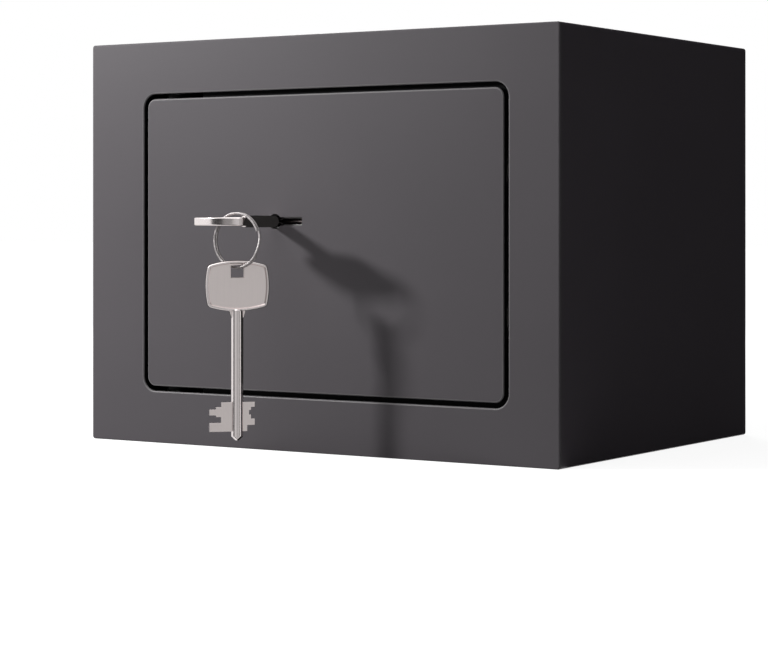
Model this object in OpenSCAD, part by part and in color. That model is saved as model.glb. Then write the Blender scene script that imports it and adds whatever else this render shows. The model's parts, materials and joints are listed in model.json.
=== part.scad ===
// Small key-operated steel safe: welded sheet cabinet, flush plate door on hidden pivot pins,
// double-bit key lock with a lever pack, two sliding bolts, two keys on a split ring.
// Millimetres. +X right, +Y to the back, +Z up. Origin at the centre of the cabinet's base.

/* [Cabinet] */
// Width of the cabinet
cabinet_w = 230; // [224:1:260]
// Depth of the cabinet
cabinet_d = 170; // [150:1:220]
// Height of the cabinet
cabinet_h = 170; // [160:1:220]
// Sheet thickness of the wrap and the back
wall_t = 1.5; // [1.2:0.1:2.5]
// Thickness of the front frame plate
frame_t = 2; // [1.5:0.1:2.5]
// Radius along the cabinet's outer edges
edge_r = 1.2; // [0.6:0.1:1.2]

/* [Door] */
// Width of the opening in the front frame
opening_w = 179; // [174:1:182]
// Height of the opening in the front frame
opening_h = 126; // [120:1:140]
// Opening's shift to the right of the cabinet's middle
opening_shift = 3; // [0:0.5:4]
// Corner radius of the opening
opening_r = 6; // [3:0.5:8]
// Gap between the door and the opening
door_gap = 2.1; // [1.5:0.1:2.5]
// Thickness of the door plate
door_t = 3; // [2.5:0.1:4]

/* [Hinge] */
// Distance of the pivot from the opening's hinge edge
hinge_inset = 12.1; // [11.5:0.1:14]
// Side of the square hinge bar behind the door
hinge_bar_w = 10; // [9:0.5:11]
// Diameter of the pivot pins
pin_d = 6; // [4:0.5:6.5]
// Depth of the pins in the hinge bar
pin_depth = 12; // [8:1:20]
// Thickness of the hinge bracket sheet
bracket_t = 3; // [2:0.5:4]

/* [Lock] */
// Keyhole's distance left of the opening's middle
key_left = 20.8; // [15:0.1:23]
// Keyhole's height above the opening's middle
key_rise = 9; // [6:0.5:10]
// Depth of the lock case behind the door plate
lock_depth = 23.6; // [20:0.1:25]
// Thickness of one lever
lever_t = 1.2; // [1:0.05:1.2]
// Radius of the crank pin's circle, half of the bolts' throw
crank_r = 6; // [5:0.1:6]

/* [Bolts] */
// Diameter of the locking bolts
bolt_d = 14; // [10:0.5:14]
// Length of the locking bolts
bolt_l = 25; // [22:0.5:28]
// Height between the two bolts
bolt_pitch = 58; // [50:1:62]
// Thickness of the bolt carrier
carrier_t = 2; // [1.5:0.1:2.5]

/* [Keys] */
// Length of a key from the bow's end to the tip
key_l = 71; // [68:0.5:80]
// Width of the bow
bow_w = 25.4; // [23:0.1:26]
// Length of the bow
bow_l = 20; // [19:0.5:24]
// Thickness of the bow at its rim
bow_t = 3.4; // [2.8:0.1:3.6]
// Thickness of the bow's recessed middle, and of the bits
web_t = 2; // [1.4:0.1:2.1]
// Diameter of the shank
shank_d = 4.8; // [3.5:0.1:5]
// Outer diameter of the split ring
ring_d = 22.4; // [21:0.1:26]

/* [Anchoring] */
// Diameter of the anchor holes
anchor_d = 12; // [8:0.5:14]
// Distance between the two holes in the back
back_hole_pitch = 100; // [60:1:140]
// Distance between the two holes in the base
base_hole_pitch = 110; // [60:1:140]

/* [Hidden] */
$fn = 64;

// Clearances
run_gap = 0.06;      // a turning pin or disc in its bore, radial
slip_gap = 0.02;     // a screwed, pressed or welded pin in its hole, radial
slide_gap = 0.2;     // a sliding plate from its neighbours
key_gap = 0.25;      // the key in the slots and holes that it goes through
cut = 1;             // how far a cutting shape runs past the surface that it cuts

// Planes from the front to the back
front_y = -cabinet_d / 2;
back_y = cabinet_d / 2;
frame_back_y = front_y + frame_t;
door_back_y = front_y + door_t;

// Opening and door
opening_x = opening_shift;
opening_z = cabinet_h / 2;
opening_left = opening_x - opening_w / 2;
opening_right = opening_x + opening_w / 2;
opening_bottom = opening_z - opening_h / 2;
opening_top = opening_z + opening_h / 2;
door_left = opening_left + door_gap;
door_right = opening_right - door_gap;
door_bottom = opening_bottom + door_gap;
door_top = opening_top - door_gap;
door_r = max(opening_r - door_gap, 1);

// Hinge
hinge_x = opening_left + hinge_inset;
hinge_y = door_back_y + hinge_bar_w / 2;
bracket_clear = door_gap + slide_gap; // from the door's edge to the tab, hidden behind the frame
bracket_half_w = 9;           // half of the bracket's width, and the tab's round end
bracket_leg = 14;             // height of the leg welded behind the frame
pin_proud = 0.5;              // how far a pin passes through its tab
washer_r = 4.5;
pin_r = pin_d / 2;

// Door stops, keeper and pry strip
stop_t = 1.5;
stop_gap = 0.2;               // between the stop and the door's back
stop_reach = 7;               // how far the stop covers the opening
stop_leg = 12;                // how far it runs over the frame's back
stop_start = 17;              // distance of the stop's end from the hinge axis
stop_inset = 2;               // of its other end from the opening's edge
stop_joggle = 2;              // height of the step between its two flanges
stop_back_joggle = 3;
pry_w = 12;
pry_t = 2;
pry_over = 5.5;               // how far the strip reaches behind the frame
pry_margin = 8;               // distance of its ends from the door's ends
keeper_t = 3;
keeper_gap = 1.5;             // from the opening's edge
keeper_foot = 12;
keeper_play = 1;              // round a thrown bolt in its window
keeper_end = 4;               // behind the windows
keeper_window = bolt_d + 2 * keeper_play;

// Lock, centred on the key's axis
key_x = opening_x - key_left;
key_z = opening_z + key_rise;
plate_t = 2;                                  // front plate of the lock case
case_wall = 1.2;
cover_t = 1.2;
case_front_y = door_back_y;
case_floor_y = case_front_y + plate_t;
cover_y = case_front_y + lock_depth;
cover_back_y = cover_y + cover_t;
case_to_left = 38;                            // from the key's axis to the four sides
case_to_right = 22;
case_to_bottom = 16;
case_to_top = 31;
case_left = key_x - case_to_left;
case_right = key_x + case_to_right;
case_bottom = key_z - case_to_bottom;
case_top = key_z + case_to_top;
case_r = 1;
case_flange = 10;                             // fixing ears at both sides of the case
flange_half_h = 9;
flange_r = 2;
screw_inset = 3.6;
boss_r = 3;
screw_r = 1.25;
screw_depth = 7;                              // below the cover's front
screw_slot_w = 0.7;
screw_slot_t = 0.6;
screw_head_r = 2.8;
screw_head_t = 1.5;
stud_r = 2.5;
stud_l = 7.6;
nut_5_af = 8;
nut_5_t = 4;
bit_r = 11.2;                                 // longest reach of the key's bits
bit_gap = 0.3;                                // from the bits to the slots' ends
slot_half = bit_r + bit_gap;                  // half length of the slots for the bits
slot_w = web_t + 2 * key_gap;
shank_hole_r = shank_d / 2 + key_gap;
keyhole_play = 0.45;                          // of the door's keyhole round the barrel's
keyhole_end = 2;                              // of its slot past the ends of the barrel's slot

// Rotor
barrel_r = 12.5;
barrel_gap = 0.3;                             // from the levers
cam_r = 12.3;
cam_boss_r = 8.4;
cam_t = 3.5;
cam_gap = 0.3;                                // from the cover
cam_boss_proud = 1.6;                         // behind the cover
cam_back_y = cover_y - cam_gap;
cam_front_y = cam_back_y - cam_t;
cam_boss_back_y = cover_back_y + cam_boss_proud;
cam_slot_end_y = cover_y + slide_gap;
crank_pin_r = 2;

// Levers
lever_gap = 0.1;
lever_pitch = lever_t + lever_gap;
lever_count = 5;
lever_to_cam = 0.4;
lever_back_y = cam_front_y - lever_to_cam;
lever_front_y = lever_back_y - (lever_count - 1) * lever_pitch - lever_t;
barrel_front_y = door_back_y + slide_gap;
barrel_back_y = lever_front_y - barrel_gap;
lever_reach = 28;                             // from the key's axis to the levers' pivot
lever_rise = 12;
lever_x = key_x - lever_reach;
lever_z = key_z + lever_rise;
lever_boss_r = 6;
lever_post_r = 2.5;
lever_spacer_r = 4;
lever_r = 2;
belly_gap = 0.6;                              // the levers clear the turning bits
belly_r = bit_r + belly_gap;
lever_to_bottom = 8;                          // from the key's axis to the levers' edges
lever_to_top = 24.3;
lever_to_right = 15;
lever_bottom = key_z + lever_to_bottom;
lever_top = key_z + lever_to_top;
lever_right = key_x + lever_to_right;
spring_t = 0.5;
spring_w = 0.9;
spring_root = 4;                              // length of its foot on the lever
spring_start = 7;                             // along the lever from its pivot
spring_end = 29;
spring_tip = 3;                               // length that bears on the roof

// Bolt stump and its gate in the levers
throw = 2 * crank_r;
stump_w = 4;
stump_h = 3;
stump_rise = 15.2;                            // above the key's axis
stump_x = key_x - crank_r;
stump_z = key_z + stump_rise;
gate_gap = 0.3;
pocket_gap = 0.9;
pocket_half = stump_w / 2 + pocket_gap;
pocket_rise = 4.6;                            // room for the dropped levers
cover_slot_gap = 0.45;                        // round the stump in the lock's cover

// Bolt carrier
carrier_gap = 1.3;                            // from the cover's screw heads
carrier_end = 8;                              // above and below the bolts' axes
carrier_to_left = 53;                         // from the key's axis
carrier_y = cover_back_y + screw_head_t + carrier_gap;
carrier_back_y = carrier_y + carrier_t;
carrier_half_h = bolt_pitch / 2 + carrier_end;
carrier_left = key_x - carrier_to_left;
bolt_inset = 1.4;                             // of a drawn bolt's tip from the door's edge
bolt_tip_x = door_right - bolt_inset;
carrier_right = bolt_tip_x - bolt_l;
carrier_r = 4;
flange_t = 2;
flange_margin = 0.5;                          // in front of the bolts
bolt_set = 2.3;                               // of the bolts in front of the carrier's back
bolt_y = carrier_back_y - bolt_d / 2 - bolt_set;
flange_front_y = min(bolt_y - bolt_d / 2 - flange_margin, carrier_y - cut);
crank_slot_end = 0.5;                         // above and below the crank pin's path
lost_motion = 1.3;                            // between the crank's circle and an even slide
bolt_chamfer = 1;
bolt_screw_r = 2.5;
bolt_screw_depth = 10;
bolt_head_t = 3.5;
guide_t = 2.5;
guide_inset = 10.4;                           // from the door's edge
guide_x = door_right - guide_inset;
guide_end = 3.5;                              // behind the bolts
guide_foot = 6.5;
guide_foot_t = 1.2;

// Guide posts, as [x, z]
post_shoulder_r = 5;
post_neck_r = 3;
post_rise = 27;
post_end = 7;                                 // neck behind the carrier
right_post_inset = 24;                        // from the carrier's right edge
left_post_reach = 31;                         // from the key's axis
right_post_x = carrier_right - right_post_inset;
left_post_x = key_x - left_post_reach;
posts = [
    [right_post_x, opening_z + post_rise],
    [right_post_x, opening_z - post_rise],
    [left_post_x, opening_z - post_rise]
];
post_washer_r = 6;
post_washer_t = 1;
nut_6_af = 10;
nut_6_t = 5;

// Keys
rim_w = 0.9;
end_rise = 2.2;                               // bulge of the bow's end edges
side_rise = 0.9;                              // bulge of its side edges
bow_corner = 1.5;
bow_hole_w = 5.2;
bow_hole_h = 4.7;
bow_hole_edge = 2;                            // bar between the hole and the bow's end
gusset_w = 1.1;
gusset_h = 2.7;
tip_l = 1.6;
tip_r = 0.9;
bit_end = 3.6;                                // from the bits to the tip
// Steps of the two bits from the bow towards the tip, as [length, reach from the axis]
big_bit = [[1.9, 6.5], [0.9, 8.6], [2.3, bit_r], [0.7, 8.6], [2.3, 6.6], [3.5, bit_r]];
small_bit = [[2.1, 6.9], [1.2, 5.4], [1.7, 4.6], [1.6, 5.4], [2.6, 6.9], [2.4, 3.9]];
bit_l = total(big_bit, len(big_bit));
tip_y = cam_slot_end_y - 0.3 + bit_end;       // the bits end just short of the cam's floor
bow_y = tip_y - key_l;

// Split ring: flat wire in two turns, hanging from the bar of the key in the lock
ring_band = 0.9;                              // radial width of the wire
ring_wire_t = 0.75;                           // thickness of one turn
ring_pitch = 1.2;                             // from one turn to the next
ring_seat_gap = 0.25;
ring_mid_r = ring_d / 2 - ring_band / 2;
ring_inner_r = ring_d / 2 - ring_band;
ring_y = bow_y + bow_hole_edge + bow_hole_h / 2;
ring_seat_in = [bow_hole_w / 2, web_t / 2];
ring_seat_out = [bow_w / 2 - side_rise / 2, bow_t / 2];
ring_chord = norm(ring_seat_out - ring_seat_in);
ring_drop = sqrt(pow(ring_inner_r - ring_seat_gap, 2) - pow(ring_chord / 2, 2));
ring_normal = [ring_seat_out[1] - ring_seat_in[1], ring_seat_in[0] - ring_seat_out[0]] / ring_chord;
ring_centre = (ring_seat_in + ring_seat_out) / 2 + ring_drop * ring_normal;
ring_x = key_x + ring_centre[0];
ring_z = key_z + ring_centre[1];
ring_start = 20;                              // degrees, where the first turn begins
ring_sweep = 665;
ring_jog_start = 310;                         // sweep at which the wire steps to the next turn
ring_jog = 50;
ring_steps = 60;

// Spare key: hangs in the ring, turned so that the ring passes through its hole
spare_yaw = 47;
spare_lift = 0.4;
spare_top_z = ring_z - ring_inner_r + spare_lift + bow_hole_edge;

// Floor mat
mat_t = 2;
mat_margin = 1.5;
mat_front = 5;
mat_hole_r = anchor_d / 2 + 2;
base_hole_y = 10;
back_hole_z = cabinet_h * 0.65;

// A rectangle from one corner to the other with rounded corners
module round_rect(x0, y0, x1, y1, r) {
    translate([x0 + r, y0]) square([x1 - x0 - 2 * r, y1 - y0]);
    translate([x0, y0 + r]) square([x1 - x0, y1 - y0 - 2 * r]);
    for (x = [x0 + r, x1 - r], y = [y0 + r, y1 - r]) translate([x, y]) circle(r);
}

// A slot with round ends, along X, from x0 to x1
module round_slot(x0, x1, r) {
    translate([x0 + r, -r]) square([x1 - x0 - 2 * r, 2 * r]);
    for (x = [x0 + r, x1 - r]) translate([x, 0]) circle(r);
}

// A shape drawn in X and Z, from y0 back to y1
module plate_y(y0, y1) {
    translate([0, y1, 0]) rotate([90, 0, 0]) linear_extrude(y1 - y0) children();
}

// A round bar along Y
module rod_y(x, z, y0, y1, r) {
    translate([x, y1, z]) rotate([90, 0, 0]) cylinder(h = y1 - y0, r = r);
}

// A hexagon along Y
module hex_y(x, z, y0, y1, flats) {
    translate([x, y1, z]) rotate([90, 0, 0]) cylinder(h = y1 - y0, r = flats / sqrt(3), $fn = 6);
}

// Cabinet

module body_wrap() {
    color("#3b3b3e") difference() {
        plate_y(frame_back_y, back_y) round_rect(-cabinet_w / 2, 0, cabinet_w / 2, cabinet_h, edge_r);
        translate([-cabinet_w / 2 + wall_t, frame_back_y - cut, wall_t])
            cube([cabinet_w - 2 * wall_t, cabinet_d + 2 * cut, cabinet_h - 2 * wall_t]);
        for (side = [-1, 1])
            translate([side * base_hole_pitch / 2, base_hole_y, -cut])
                cylinder(h = wall_t + 2 * cut, r = anchor_d / 2);
    }
}

module front_frame() {
    color("#4d4d50") plate_y(front_y, frame_back_y) difference() {
        round_rect(-cabinet_w / 2, 0, cabinet_w / 2, cabinet_h, edge_r);
        round_rect(opening_left, opening_bottom, opening_right, opening_top, opening_r);
    }
}

module back_plate() {
    color("#3b3b3e") difference() {
        translate([-cabinet_w / 2 + wall_t, back_y - wall_t, wall_t])
            cube([cabinet_w - 2 * wall_t, wall_t, cabinet_h - 2 * wall_t]);
        for (side = [-1, 1])
            rod_y(side * back_hole_pitch / 2, back_hole_z, back_y - wall_t - cut, back_y + cut, anchor_d / 2);
    }
}

// The lower bracket: a leg behind the frame and a tab with the pivot's bore
module hinge_bracket() {
    tab_top = door_bottom - bracket_clear;
    leg_top = tab_top;
    difference() {
        union() {
            translate([hinge_x - bracket_half_w, frame_back_y, leg_top - bracket_leg])
                cube([2 * bracket_half_w, bracket_t - 1, bracket_leg]);
            translate([hinge_x - bracket_half_w, frame_back_y, tab_top - bracket_t])
                cube([2 * bracket_half_w, hinge_y - frame_back_y, bracket_t]);
            translate([hinge_x, hinge_y, tab_top - bracket_t])
                cylinder(h = bracket_t, r = bracket_half_w);
        }
        translate([hinge_x, hinge_y, tab_top - bracket_t - cut])
            cylinder(h = bracket_t + 2 * cut, r = pin_r + run_gap);
        translate([hinge_x - 2 * bracket_half_w, frame_back_y - 2 * bracket_half_w, 0])
            cube([4 * bracket_half_w, 2 * bracket_half_w, cabinet_h]);
    }
}

// Turns a piece at the bottom of the opening into its twin at the top
module at_top() {
    translate([0, 0, 2 * opening_z]) mirror([0, 0, 1]) children();
}

module hinge_bracket_bottom() {
    color("#3b3b3e") hinge_bracket();
}

module hinge_bracket_top() {
    color("#3b3b3e") at_top() hinge_bracket();
}

// A joggled strip: welded behind the frame, then stepped back behind the door's edge
module door_stop() {
    stop_y = door_back_y + stop_gap;
    x0 = hinge_x + stop_start;
    x1 = opening_right - stop_inset;
    z = opening_bottom;
    translate([x0, 0, 0]) rotate([90, 0, 90]) linear_extrude(x1 - x0) polygon([
        [frame_back_y, z - stop_leg],
        [frame_back_y + stop_t, z - stop_leg],
        [frame_back_y + stop_t, z - stop_back_joggle],
        [stop_y + stop_t, z - stop_back_joggle + stop_joggle],
        [stop_y + stop_t, z + stop_reach],
        [stop_y, z + stop_reach],
        [stop_y, z],
        [frame_back_y, z - stop_joggle]
    ]);
}

module door_stop_bottom() {
    color("#3b3b3e") door_stop();
}

module door_stop_top() {
    color("#3b3b3e") at_top() door_stop();
}

// Angle behind the frame's latch side with a window for each bolt
module bolt_keeper() {
    x0 = opening_right + keeper_gap;
    z0 = opening_z - carrier_half_h;
    back = bolt_y + keeper_window / 2 + keeper_end;
    color("#3b3b3e") difference() {
        union() {
            translate([x0, frame_back_y, z0]) cube([keeper_t, back - frame_back_y, 2 * carrier_half_h]);
            translate([x0, frame_back_y, z0])
                cube([min(keeper_foot, cabinet_w / 2 - wall_t - x0), stop_t, 2 * carrier_half_h]);
        }
        for (side = [-1, 1])
            translate([x0 - cut, bolt_y - keeper_window / 2,
                    opening_z + side * bolt_pitch / 2 - keeper_window / 2])
                cube([keeper_t + 2 * cut, keeper_window, keeper_window]);
    }
}

module floor_mat() {
    inner = cabinet_w / 2 - wall_t - mat_margin;
    color("#2b2b2d") difference() {
        translate([-inner, frame_back_y + mat_front, wall_t])
            cube([2 * inner, back_y - wall_t - mat_margin - frame_back_y - mat_front, mat_t]);
        for (side = [-1, 1])
            translate([side * base_hole_pitch / 2, base_hole_y, 0]) cylinder(h = 3 * mat_t, r = mat_hole_r);
    }
}

// Door

module door_plate() {
    color("#4d4d50") plate_y(front_y, door_back_y) difference() {
        round_rect(door_left, door_bottom, door_right, door_top, door_r);
        translate([key_x, key_z]) {
            circle(shank_hole_r + keyhole_play);
            square([2 * (slot_half + keyhole_end), slot_w + 2 * keyhole_play], center = true);
        }
    }
}

module hinge_bar() {
    color("#3b3b3e") difference() {
        translate([hinge_x - hinge_bar_w / 2, door_back_y, door_bottom])
            cube([hinge_bar_w, hinge_bar_w, door_top - door_bottom]);
        translate([hinge_x, hinge_y, door_bottom - cut]) cylinder(h = pin_depth + cut, r = pin_r + slip_gap);
        translate([hinge_x, hinge_y, door_top - pin_depth]) cylinder(h = pin_depth + cut, r = pin_r + slip_gap);
    }
}

// The lower pin: from just below the tab up into the bar
module hinge_pin() {
    pin_bottom = door_bottom - bracket_clear - bracket_t - pin_proud;
    translate([hinge_x, hinge_y, pin_bottom]) cylinder(h = door_bottom + pin_depth - pin_bottom, r = pin_r);
}

module hinge_pin_bottom() {
    color("#c9c9c6") hinge_pin();
}

module hinge_pin_top() {
    color("#c9c9c6") at_top() hinge_pin();
}

// Thrust washer at the bar's lower end
module hinge_washer() {
    washer_t = bracket_clear - slide_gap;
    translate([hinge_x, hinge_y, door_bottom - washer_t]) difference() {
        cylinder(h = washer_t, r = washer_r);
        translate([0, 0, -cut]) cylinder(h = washer_t + 2 * cut, r = pin_r + run_gap);
    }
}

module hinge_washers() {
    color("#202022") {
        hinge_washer();
        at_top() hinge_washer();
    }
}

// Strip on the door's hinge edge that reaches behind the frame
module anti_pry_strip() {
    x0 = opening_left - pry_over;
    color("#3b3b3e") translate([x0, door_back_y, door_bottom + pry_margin])
        cube([min(pry_w, hinge_x - hinge_bar_w / 2 - slide_gap - x0), pry_t,
            door_top - door_bottom - 2 * pry_margin]);
}

// Angle on the door's latch edge that carries the bolts
module bolt_guide() {
    z0 = opening_z - carrier_half_h;
    back = bolt_y + bolt_d / 2 + guide_end;
    color("#b8b8b4") difference() {
        union() {
            translate([guide_x, door_back_y, z0]) cube([guide_t, back - door_back_y, 2 * carrier_half_h]);
            translate([guide_x, door_back_y, z0])
                cube([guide_t + guide_foot, guide_foot_t, 2 * carrier_half_h]);
        }
        for (side = [-1, 1])
            translate([guide_x - cut, bolt_y, opening_z + side * bolt_pitch / 2])
                rotate([0, 90, 0]) cylinder(h = guide_t + 2 * cut, r = bolt_d / 2 + run_gap);
    }
}

function case_screws() = [
    for (x = [case_left + screw_inset, case_right - screw_inset],
        z = [case_bottom + screw_inset, case_top - screw_inset]) [x, z]
];

function case_studs() = [
    for (x = [case_left - case_flange / 2, case_right + case_flange / 2]) [x, key_z]
];

// Tray of the lock: front plate with two ears, four walls, four screw bosses
module lock_case() {
    color("#b8b8b4") {
        difference() {
            plate_y(case_front_y, case_floor_y) {
                round_rect(case_left, case_bottom, case_right, case_top, case_r);
                round_rect(case_left - case_flange, key_z - flange_half_h,
                    case_right + case_flange, key_z + flange_half_h, flange_r);
            }
            rod_y(key_x, key_z, case_front_y - cut, case_floor_y + cut, barrel_r + run_gap);
            for (s = case_studs())
                rod_y(s[0], s[1], case_front_y - cut, case_floor_y + cut, stud_r + slip_gap);
        }
        plate_y(case_floor_y, cover_y) difference() {
            round_rect(case_left, case_bottom, case_right, case_top, case_r);
            translate([case_left + case_wall, case_bottom + case_wall])
                square([case_right - case_left - 2 * case_wall, case_top - case_bottom - 2 * case_wall]);
        }
        plate_y(case_floor_y, cover_y) difference() {
            intersection() {
                for (s = case_screws()) translate(s) circle(boss_r);
                translate([case_left + case_wall / 2, case_bottom + case_wall / 2])
                    square([case_right - case_left - case_wall, case_top - case_bottom - case_wall]);
            }
            for (s = case_screws()) translate(s) circle(screw_r + slip_gap);
        }
    }
}

module lock_cover() {
    color("#b8b8b4") plate_y(cover_y, cover_back_y) difference() {
        round_rect(case_left, case_bottom, case_right, case_top, case_r);
        translate([key_x, key_z]) circle(cam_boss_r + run_gap);
        translate([stump_x - stump_w / 2 - cover_slot_gap, stump_z - stump_h / 2 - cover_slot_gap])
            square([throw + stump_w + 2 * cover_slot_gap, stump_h + 2 * cover_slot_gap]);
        for (s = case_screws()) translate(s) circle(screw_r + slide_gap);
    }
}

module lock_screws() {
    color("#c9c9c6") for (s = case_screws()) difference() {
        union() {
            rod_y(s[0], s[1], cover_y - screw_depth, cover_back_y, screw_r);
            rod_y(s[0], s[1], cover_back_y, cover_back_y + screw_head_t, screw_head_r);
        }
        translate([s[0] - screw_head_r - cut, cover_back_y + screw_head_t - screw_slot_t,
                s[1] - screw_slot_w / 2])
            cube([2 * (screw_head_r + cut), screw_slot_t + cut, screw_slot_w]);
    }
}

module lock_studs() {
    color("#c9c9c6") for (s = case_studs())
        rod_y(s[0], s[1], door_back_y, door_back_y + stud_l, stud_r);
}

module lock_nuts() {
    color("#c9c9c6") for (s = case_studs()) difference() {
        hex_y(s[0], s[1], case_floor_y, case_floor_y + nut_5_t, nut_5_af);
        rod_y(s[0], s[1], case_floor_y - cut, case_floor_y + nut_5_t + cut, stud_r + slip_gap);
    }
}

module lever_post() {
    color("#c9c9c6") rod_y(lever_x, lever_z, case_floor_y, cover_y, lever_post_r);
}

// Tube on the post in front of the lever pack
module lever_collar() {
    color("#c8a24a") difference() {
        rod_y(lever_x, lever_z, case_floor_y + lever_gap, lever_front_y - lever_gap, lever_spacer_r);
        rod_y(lever_x, lever_z, case_floor_y - cut, lever_front_y + cut, lever_post_r + slip_gap);
    }
}

// Tube on the post between the lever pack and the cover
module lever_spacer() {
    color("#c8a24a") difference() {
        rod_y(lever_x, lever_z, lever_back_y + lever_gap, cover_y - lever_gap, lever_spacer_r);
        rod_y(lever_x, lever_z, lever_back_y - cut, cover_y + cut, lever_post_r + slip_gap);
    }
}

module guide_posts() {
    color("#c9c9c6") for (p = posts) {
        rod_y(p[0], p[1], door_back_y, carrier_y - slide_gap, post_shoulder_r);
        rod_y(p[0], p[1], carrier_y - slide_gap, carrier_back_y + post_end, post_neck_r);
    }
}

module guide_washers() {
    y0 = carrier_back_y + slide_gap;
    color("#c8a24a") for (p = posts) difference() {
        rod_y(p[0], p[1], y0, y0 + post_washer_t, post_washer_r);
        rod_y(p[0], p[1], y0 - cut, y0 + post_washer_t + cut, post_neck_r + slip_gap);
    }
}

module guide_nuts() {
    y0 = carrier_back_y + slide_gap + post_washer_t;
    color("#c9c9c6") for (p = posts) difference() {
        hex_y(p[0], p[1], y0, y0 + nut_6_t, nut_6_af);
        rod_y(p[0], p[1], y0 - cut, y0 + nut_6_t + cut, post_neck_r + slip_gap);
    }
}

// Lock rotor

// Slotted barrel behind the keyhole that the bits turn, journalled in the front of the case
module key_barrel() {
    color("#8d8d8c") plate_y(barrel_front_y, barrel_back_y) translate([key_x, key_z])
        difference() {
            circle(barrel_r);
            circle(shank_hole_r);
            square([2 * slot_half, slot_w], center = true);
        }
}

// Disc at the end of the bits, journalled in the lock's cover
module drive_cam() {
    color("#c8a24a") difference() {
        union() {
            rod_y(key_x, key_z, cam_front_y, cam_back_y, cam_r);
            rod_y(key_x, key_z, cam_back_y, cam_boss_back_y, cam_boss_r);
        }
        rod_y(key_x, key_z, cam_front_y - cut, cam_boss_back_y + cut, shank_hole_r);
        rod_y(key_x - crank_r, key_z, cam_slot_end_y - cut, cam_boss_back_y + cut, crank_pin_r + slip_gap);
        translate([key_x - slot_half, cam_front_y - cut, key_z - slot_w / 2])
            cube([2 * slot_half, cam_slot_end_y - cam_front_y + cut, slot_w]);
    }
}

module crank_pin() {
    color("#c9c9c6")
        rod_y(key_x - crank_r, key_z, cam_slot_end_y, carrier_back_y + 1, crank_pin_r);
}

// Levers

// One lever: boss at the pivot, belly over the bits, two pockets joined by the gate
module lever(index) {
    y0 = lever_front_y + index * lever_pitch;
    gate_bottom = stump_z - stump_h / 2 - gate_gap;
    gate_top = stump_z + stump_h / 2 + gate_gap;
    color("#c8a24a") plate_y(y0, y0 + lever_t) difference() {
        union() {
            translate([lever_x, lever_z]) circle(lever_boss_r);
            round_rect(lever_x, lever_bottom, lever_right, lever_top, lever_r);
        }
        translate([lever_x, lever_z]) circle(lever_post_r + run_gap);
        translate([key_x, key_z]) circle(belly_r);
        translate([stump_x, gate_bottom]) square([throw, gate_top - gate_bottom]);
        for (x = [stump_x, stump_x + throw])
            translate([x - pocket_half, gate_bottom])
                square([2 * pocket_half, gate_top - gate_bottom + pocket_rise]);
    }
}

module lever_1() {
    lever(0);
}

module lever_2() {
    lever(1);
}

module lever_3() {
    lever(2);
}

module lever_4() {
    lever(3);
}

module lever_5() {
    lever(4);
}

// A blade on each lever that bears on the roof of the case
module lever_springs() {
    roof = case_top - case_wall - lever_gap;
    color("#c9c9c6") for (i = [0 : lever_count - 1]) {
        y0 = lever_front_y + i * lever_pitch + (lever_t - spring_w) / 2;
        plate_y(y0, y0 + spring_w) polygon([
            [lever_x + spring_start, lever_top],
            [lever_x + spring_start + spring_root, lever_top],
            [lever_x + spring_end, roof - spring_t],
            [lever_x + spring_end, roof],
            [lever_x + spring_end - spring_tip, roof]
        ]);
    }
}

// Boltwork

// Sliding plate with a slot for the crank, a slot for each post and a flange for the bolts
module bolt_carrier() {
    z0 = opening_z - carrier_half_h;
    z1 = opening_z + carrier_half_h;
    color("#b8b8b4") {
        plate_y(carrier_y, carrier_back_y) difference() {
            round_rect(carrier_left, z0, carrier_right, z1, carrier_r);
            for (p = posts)
                translate(p) round_slot(-throw - post_neck_r - slide_gap, post_neck_r + slide_gap,
                    post_neck_r + slide_gap);
            translate([key_x - crank_r, 0]) round_rect(
                -crank_pin_r - lost_motion - slide_gap, key_z - crank_r - crank_pin_r - crank_slot_end,
                crank_pin_r + lost_motion + slide_gap, key_z + crank_pin_r + crank_slot_end, 1);
        }
        difference() {
            translate([carrier_right - flange_t, flange_front_y, z0 + carrier_r])
                cube([flange_t, carrier_back_y - flange_front_y, 2 * (carrier_half_h - carrier_r)]);
            for (side = [-1, 1])
                translate([carrier_right - flange_t - cut, bolt_y, opening_z + side * bolt_pitch / 2])
                    rotate([0, 90, 0]) cylinder(h = flange_t + 2 * cut, r = bolt_screw_r + slip_gap);
        }
    }
}

// Post on the carrier that has to pass the levers' gates
module bolt_stump() {
    color("#c9c9c6") translate([stump_x - stump_w / 2, lever_front_y + slide_gap, stump_z - stump_h / 2])
        cube([stump_w, carrier_y - lever_front_y - slide_gap, stump_h]);
}

module bolt(z) {
    translate([carrier_right, bolt_y, z]) rotate([0, 90, 0]) difference() {
        union() {
            cylinder(h = bolt_l - bolt_chamfer, r = bolt_d / 2);
            translate([0, 0, bolt_l - bolt_chamfer])
                cylinder(h = bolt_chamfer, r1 = bolt_d / 2, r2 = bolt_d / 2 - bolt_chamfer);
        }
        translate([0, 0, -cut]) cylinder(h = bolt_screw_depth + cut, r = bolt_screw_r + slip_gap);
    }
}

module bolt_upper() {
    color("#d0d0ce") bolt(opening_z + bolt_pitch / 2);
}

module bolt_lower() {
    color("#d0d0ce") bolt(opening_z - bolt_pitch / 2);
}

module bolt_screws() {
    color("#c9c9c6") for (side = [-1, 1])
        translate([carrier_right - flange_t, bolt_y, opening_z + side * bolt_pitch / 2]) rotate([0, 90, 0]) {
            translate([0, 0, -bolt_head_t]) cylinder(h = bolt_head_t, r = nut_5_af / sqrt(3), $fn = 6);
            cylinder(h = flange_t + bolt_screw_depth - bolt_chamfer / 2, r = bolt_screw_r);
        }
}

// Keys

function arc_radius(half_chord, rise) = (half_chord * half_chord + rise * rise) / (2 * rise);

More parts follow.
